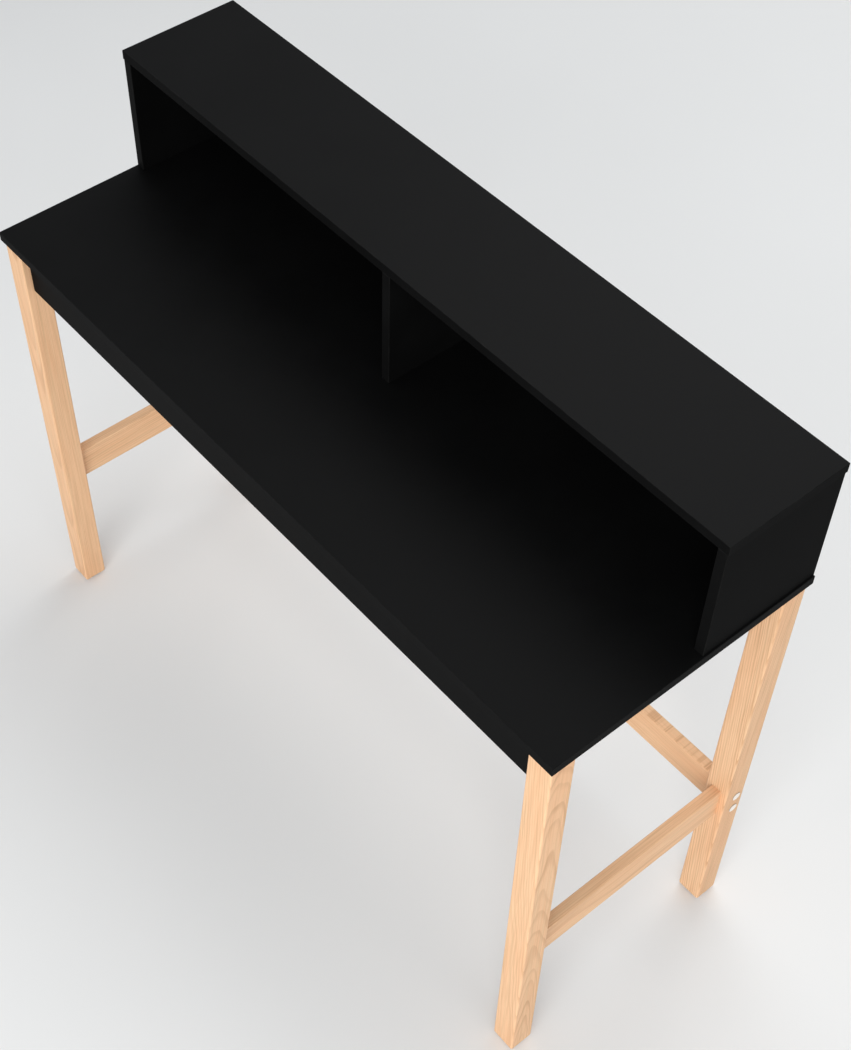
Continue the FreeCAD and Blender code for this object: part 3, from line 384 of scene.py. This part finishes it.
PALE_CHIP = color(0.52, 0.37, 0.22)
BROWN_CHIP = color(0.27, 0.17, 0.09)
CHIP_CELLS = (900.0, 900.0, 1800.0)
CHIP_ROUGHNESS = 0.75
CHIP_RELIEF = 0.10 * MM
CHIP_SHINE = 0.2

PANEL_CLOUD = Pattern(even(14.0), 4.0, 0.5, 0.30, 0.75)
PANEL_SPECK = Pattern(even(1300.0), 3.0, 0.7)
PANEL_ROUGHNESS = 0.52
PANEL_RELIEF = 0.08 * MM
BEHIND_START, BEHIND_FULL = 0.2, 0.8
SCREEN_PITCH = 2.2 * MM
SCREEN_LOW, SCREEN_HIGH = 0.2, 0.9
SCREEN_SHARE = 0.5

# Each board's black (a copy of the one melamine black with the board's painted shade), the shine of its two
# faces, and the shine of its edge band.
BOARD_SHADED_BLACK_AND_SHINE = {
    "desktop": (LEVEL_SHADED_BLACK, LEVEL_SHINE, UPRIGHT_SHINE),
    "hutch_top": (LEVEL_SHADED_BLACK, LEVEL_SHINE, SIDE_SHINE),
    "front_apron": (UPRIGHT_SHADED_BLACK, UPRIGHT_SHINE, UPRIGHT_SHINE),
    "rear_apron": (REAR_LIT_BLACK, REAR_SHINE, UPRIGHT_SHINE),
    "hutch_side_left": (SIDE_SHADED_BLACK, SIDE_SHINE, UPRIGHT_SHINE),
    "hutch_side_right": (SIDE_SHADED_BLACK, SIDE_SHINE, UPRIGHT_SHINE),
    "hutch_divider": (UPRIGHT_SHADED_BLACK, UPRIGHT_SHINE, UPRIGHT_SHINE),
}
FACE_SLOT, BAND_SLOT, CORE_SLOT = 0, 1, 2

# A polygon deeper inside the board's box than this is in a hole or groove. One on the skin is a face if its
# normal has at least this much along the board's thin axis.
SKIN_DEPTH = 0.5 * MM
FACE_SLOPE = 0.7


def melamine(node_name, kind, black, shine):
    """Matt black melamine or edge band: a fine pebbled print, a faint mottle, and edges rubbed paler."""
    graph = Graph(kind + "_" + node_name)
    edge = graph.edge_distance(node_name)
    mottle = graph.noise(graph.place, BOARD_MOTTLE)
    pebble = graph.noise(graph.place, BOARD_PEBBLE)
    wave = graph.noise(graph.place, BOARD_WAVE)
    scuff = graph.mask(graph.noise(graph.place, BOARD_SCUFF), BOARD_SCUFF, LEAST_RUBBED, 1.0)

    # For a board's faces, the black pair carries that board's painted shade. The edge band keeps its own
    # black.
    body = graph.blend(graph.mask(mottle, BOARD_MOTTLE), *black)
    rubbed = graph.step(edge, RUBBED_FULL, RUBBED_GONE, 1.0, 0.0)
    body = graph.blend(graph.math("MULTIPLY", rubbed, scuff), body, WORN_BLACK)
    seam = graph.math("COMPARE", edge, SEAM_DISTANCE, SEAM_HALF_WIDTH)
    height = graph.total(pebble, (wave, 0.5), (seam, -0.8))
    roughness = graph.total(BOARD_ROUGHNESS, (mottle, 0.10), (pebble, 0.08))
    return graph.finish(body, roughness, height, BOARD_RELIEF, Specular_IOR_Level=shine)


def particle_board():
    """The raw core of a board, where it is drilled or grooved: pressed chips from pale to brown."""
    graph = Graph("particle_board")
    chips = graph.add("ShaderNodeTexVoronoi")
    graph.feed(chips.inputs["Vector"], graph.vector("MULTIPLY", graph.place, CHIP_CELLS))
    chips.inputs["Scale"].default_value = 1.0
    shade = graph.split(chips.outputs["Color"])[0]
    body = graph.blend(shade, PALE_CHIP, BROWN_CHIP)
    roughness = graph.total(CHIP_ROUGHNESS, (shade, 0.15))
    return graph.finish(body, roughness, shade, CHIP_RELIEF, Specular_IOR_Level=CHIP_SHINE)


def hardboard(node_name):
    """Black painted hardboard: smooth in front, with the press screen's woven print behind."""
    graph = Graph("hardboard_" + node_name)
    place = graph.split(graph.place)
    behind = graph.step(graph.split(graph.normal)[FORWARD], BEHIND_START, BEHIND_FULL)
    turns = 2 * math.pi / SCREEN_PITCH
    warp = graph.math("SINE", graph.math("MULTIPLY", place[SIDEWAYS], turns))
    weft = graph.math("SINE", graph.math("MULTIPLY", place[UPRIGHT], turns))
    screen = graph.math("MULTIPLY", graph.math("MULTIPLY", warp, weft), behind)
    speck = graph.noise(graph.place, PANEL_SPECK)
    cloud = graph.noise(graph.place, PANEL_CLOUD)

    # Painted shade and light: the front face takes the level board's shaded black, and the back face takes
    # the rear board's lighter black as painted light.
    ground, print_tone = REAR_LIT_BLACK
    body = graph.blend(graph.mask(cloud, PANEL_CLOUD), *LEVEL_SHADED_BLACK)
    body = graph.blend(behind, body, ground)
    printed = graph.math("MULTIPLY", graph.step(screen, SCREEN_LOW, SCREEN_HIGH), SCREEN_SHARE)
    body = graph.blend(printed, body, print_tone)
    height = graph.total(speck, (screen, 1.5))
    roughness = graph.total(PANEL_ROUGHNESS, (cloud, 0.16))
    return graph.finish(body, roughness, height, PANEL_RELIEF, Specular_IOR_Level=REAR_SHINE)


def cover_board(node_name, face, band, core):
    """A board's two faces, the band round its edges, and the raw core inside its holes and grooves."""
    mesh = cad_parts[node_name].data
    low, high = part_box(node_name)
    size = list(high - low)
    thin = size.index(min(size))
    mesh.materials.clear()
    for material in (face, band, core):
        mesh.materials.append(material)
    for polygon in mesh.polygons:
        depth = min(min(polygon.center - low), min(high - polygon.center))
        if depth > SKIN_DEPTH:
            polygon.material_index = CORE_SLOT
        elif abs(polygon.normal[thin]) < FACE_SLOPE:
            polygon.material_index = BAND_SLOT
        else:
            polygon.material_index = FACE_SLOT


# ---------------------------------------------------------------- fittings
CAST_ZINC = ("apron_cam_locks", "hutch_cam_locks")
PLATED_STEEL = (
    "apron_cam_pegs", "hutch_cam_pegs", "stretcher_bolts", "stretcher_barrel_nuts",
    "leg_bracket_front_left", "leg_bracket_front_right", "leg_bracket_rear_left", "leg_bracket_rear_right",
    "bracket_leg_screws", "bracket_top_screws", "hutch_foot_screws", "glide_nails",
)
DOWELS = ("side_stretcher_dowels", "apron_dowels", "hutch_foot_dowels", "hutch_top_dowels")

CAST_TONE, CAST_ROUGHNESS = (0.52, 0.52, 0.51), 0.34
PLATED_TONE, PLATED_ROUGHNESS = (0.60, 0.60, 0.58), 0.24
DULL_SHARE = 0.72
CAST_SKIN = Pattern(even(2600.0), 3.0, 0.65)
PLATED_SKIN = Pattern((500.0, 500.0, 4200.0), 3.0, 0.65)
METAL_BLOOM = Pattern(even(110.0), 3.0, 0.5, 0.35, 0.75)
METAL_RELIEF = 0.04 * MM

# The shade colours tint the flow marks, and they are also the painted shade on each rim's side.
CAP_IVORY, CAP_SHADE = color(0.93, 0.86, 0.78), color(0.30, 0.24, 0.19)
CAP_ROUGHNESS, CAP_RIM = 0.36, 0.9
GLIDE_BLACK, GLIDE_SHADE = color(0.045, 0.042, 0.040), color(0.020, 0.019, 0.018)
GLIDE_ROUGHNESS, GLIDE_RIM = 0.48, 0.5
FLOW_SHARE = 0.10
PLASTIC_FLOW = Pattern((240.0, 240.0, 90.0), 3.0, 0.5, 0.35, 0.80)
PLASTIC_SKIN = Pattern(even(3200.0), 2.0, 0.6)
PLASTIC_RELIEF = 0.03 * MM
PLASTIC_SHINE = 0.45
SIDE_FACING, END_FACING = 0.25, 0.85

PALE_BEECH = color(0.70, 0.52, 0.34)
DEEP_BEECH = color(0.62, 0.43, 0.26)
FLECK_BEECH = color(0.36, 0.21, 0.11)
FLECK_SHARE = 0.5
BEECH_FLECK = Pattern((1400.0, 1400.0, 300.0), 2.0, 0.5, 0.58, 0.70)
BEECH_TONE = Pattern(even(160.0), 3.0, 0.5, 0.3, 0.8)
BEECH_ROUGHNESS = 0.55
BEECH_RELIEF = 0.05 * MM
BEECH_SHINE = 0.3


def zinc(name, tone, base_roughness, skin_pattern):
    """Zinc, cast or plated, with its own fine skin. Handling leaves faint dull spots."""
    graph = Graph(name)
    skin = graph.noise(graph.place, skin_pattern)
    bloom = graph.noise(graph.place, METAL_BLOOM)
    dull = color(*(DULL_SHARE * channel for channel in tone))
    body = graph.blend(graph.mask(bloom, METAL_BLOOM), color(*tone), dull)
    roughness = graph.total(base_roughness, (skin, 0.16), (bloom, 0.12))
    return graph.finish(body, roughness, skin, METAL_RELIEF, Metallic=1.0)


def moulded(name, base, shade, base_roughness, axis, rim):
    """Moulded plastic: spark-eroded skin, faint flow marks, and painted shade on the side of its rim.

    axis is the moulding's own axis, and rim how far its side goes over to the shade colour, as painted
    shade.
    """
    graph = Graph(name)
    facing = graph.math("ABSOLUTE", graph.split(graph.normal)[axis])
    skin = graph.noise(graph.place, PLASTIC_SKIN)
    body = graph.tint(base, graph.place, PLASTIC_FLOW, FLOW_SHARE, shade)
    # Painted shade: faces that turn away from the axis, which form the rim's side, go over to the shade
    # colour.
    body = graph.blend(graph.step(facing, SIDE_FACING, END_FACING, rim, 0.0), body, shade)
    roughness = graph.total(base_roughness, (skin, 0.12))
    return graph.finish(body, roughness, skin, PLASTIC_RELIEF, Specular_IOR_Level=PLASTIC_SHINE)


def dowel_beech():
    """Raw beech dowels: short brown flecks on a pale ground."""
    graph = Graph("dowel_beech")
    fleck = graph.mask(graph.noise(graph.place, BEECH_FLECK), BEECH_FLECK)
    tone = graph.noise(graph.place, BEECH_TONE)
    body = graph.blend(graph.mask(tone, BEECH_TONE), PALE_BEECH, DEEP_BEECH)
    body = graph.blend(graph.math("MULTIPLY", fleck, FLECK_SHARE), body, FLECK_BEECH)
    roughness = graph.total(BEECH_ROUGHNESS, (tone, 0.15))
    return graph.finish(body, roughness, fleck, BEECH_RELIEF, Specular_IOR_Level=BEECH_SHINE)


# ---------------------------------------------------------------- finishes on the CAD nodes
def finish_boards():
    core = particle_board()
    for node_name in BOARD_SHADED_BLACK_AND_SHINE:
        black, face_shine, band_shine = BOARD_SHADED_BLACK_AND_SHINE[node_name]
        band = melamine(node_name, "edge_band", BAND_BLACK, band_shine)
        face = melamine(node_name, "melamine", black, face_shine)
        cover_board(node_name, face, band, core)
    cover("hutch_back_panel", hardboard("hutch_back_panel"))


def finish_fittings():
    cast = zinc("zinc_cast", CAST_TONE, CAST_ROUGHNESS, CAST_SKIN)
    plated = zinc("zinc_plated", PLATED_TONE, PLATED_ROUGHNESS, PLATED_SKIN)
    beech = dowel_beech()
    for names, material in ((CAST_ZINC, cast), (PLATED_STEEL, plated), (DOWELS, beech)):
        for node_name in names:
            cover(node_name, material)
    cap = moulded("cap_plastic", CAP_IVORY, CAP_SHADE, CAP_ROUGHNESS, SIDEWAYS, CAP_RIM)
    glide = moulded("glide_plastic", GLIDE_BLACK, GLIDE_SHADE, GLIDE_ROUGHNESS, UPRIGHT, GLIDE_RIM)
    cover("stretcher_bolt_caps", cap)
    cover("leg_glides", glide)


def finish_nodes():
    for node_name in TIMBER:
        cover(node_name, timber(node_name, TIMBER[node_name]))
    finish_boards()
    finish_fittings()


# ---------------------------------------------------------------- room
FLOOR_PALE = color(0.80, 0.80, 0.79)
FLOOR_DEEP = color(0.77, 0.77, 0.76)
FLOOR_FAR = grey(0.98)
FLOOR_DRIFT = Pattern(even(0.7), 3.0, 0.5, 0.3, 0.8)
FLOOR_SPECK = Pattern(even(400.0))
FLOOR_ROUGHNESS = 0.88
FLOOR_RELIEF = 0.05 * MM
FLOOR_SHINE = 0.05
FLOOR_REACH = 60.0
FADE_START, FADE_END = 4.0, 11.0
SKY = color(0.93, 0.96, 1.0)
SKY_STRENGTH = 0.53
WIDE, NARROW = 180.0, 120.0

# Name, azimuth and elevation in degrees, distance and size in metres, watts, and spread in degrees.
LIGHTS = (
    ("key", 36.0, 25.0, 5.0, 3.4, 70.0, NARROW),
    ("rear", 205.0, 66.0, 3.0, 1.8, 33.0, WIDE),
    ("side", 80.0, 30.0, 3.6, 2.0, 13.0, WIDE),
    ("front", 10.0, 9.0, 3.4, 1.7, 8.6, NARROW),
    ("back", 190.0, 14.0, 4.5, 3.0, 22.0, NARROW),
)


def direction(azimuth, elevation):
    """Points from the object outwards. The azimuth turns from the front to the right."""
    turn, rise = math.radians(azimuth), math.radians(elevation)
    return Vector((math.sin(turn) * math.cos(rise), -math.cos(turn) * math.cos(rise), math.sin(rise)))


def add_object(name, data):
    added = bpy.data.objects.new(name, data)
    bpy.context.scene.collection.objects.link(added)
    return added


def floor_material():
    """Pale and plain. Far out it is as light as the sky, so no horizon shows."""
    graph = Graph("studio_floor")
    drift = graph.noise(graph.place, FLOOR_DRIFT)
    speck = graph.noise(graph.place, FLOOR_SPECK)
    body = graph.blend(graph.mask(drift, FLOOR_DRIFT), FLOOR_PALE, FLOOR_DEEP)
    away = graph.step(graph.vector("LENGTH", graph.place), FADE_START, FADE_END)
    body = graph.blend(away, body, FLOOR_FAR)
    roughness = graph.total(FLOOR_ROUGHNESS, (speck, 0.1))
    return graph.finish(body, roughness, speck, FLOOR_RELIEF, Specular_IOR_Level=FLOOR_SHINE)


def make_floor():
    """A studio floor under the feet."""
    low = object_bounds()[0]
    sides = ((-1, -1), (1, -1), (1, 1), (-1, 1))
    corners = [(x * FLOOR_REACH, y * FLOOR_REACH, low.z) for x, y in sides]
    mesh = bpy.data.meshes.new("studio_floor")
    mesh.from_pydata(corners, [], [(0, 1, 2, 3)])
    floor = add_object("studio_floor", mesh)
    mesh.materials.append(floor_material())
    floor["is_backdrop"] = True


def area_light(name, azimuth, elevation, distance, size, watts, spread):
    """A square soft box that looks at the middle of the object."""
    low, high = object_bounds()
    away = direction(azimuth, elevation)
    lamp = bpy.data.lights.new(name, "AREA")
    lamp.shape = "SQUARE"
    lamp.size = size
    lamp.energy = watts
    lamp.spread = math.radians(spread)
    holder = add_object(name, lamp)
    holder.location = (low + high) / 2 + away * distance
    holder.visible_camera = False
    holder.rotation_mode = "QUATERNION"
    holder.rotation_quaternion = away.to_track_quat("Z", "Y")


def make_room():
    make_floor()
    world = bpy.data.worlds.new("studio")
    bpy.context.scene.world = world
    world.use_nodes = True
    background = world.node_tree.nodes["Background"]
    background.inputs["Color"].default_value = SKY
    background.inputs["Strength"].default_value = SKY_STRENGTH
    for light in LIGHTS:
        area_light(*light)


def make_camera():
    """The camera looks at a point of the desktop's top, from the front and right, well above."""
    back = direction(VIEW_AZIMUTH, VIEW_ELEVATION)
    aim = Vector((AIM_SIDE, AIM_FRONT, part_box("desktop")[1].z))
    lens = bpy.data.cameras.new("camera")
    lens.sensor_width = SENSOR
    lens.lens = LENS
    lens.shift_x = SHIFT_SIDE
    lens.shift_y = SHIFT_UP
    camera = add_object("camera", lens)
    camera.location = aim + back * VIEW_DISTANCE
    camera.rotation_mode = "QUATERNION"
    camera.rotation_quaternion = Quaternion(back, math.radians(VIEW_ROLL)) @ back.to_track_quat("Z", "Y")
    bpy.context.scene.camera = camera


finish_nodes()
make_camera()
make_room()
bpy.context.scene.view_settings.view_transform = "Standard"
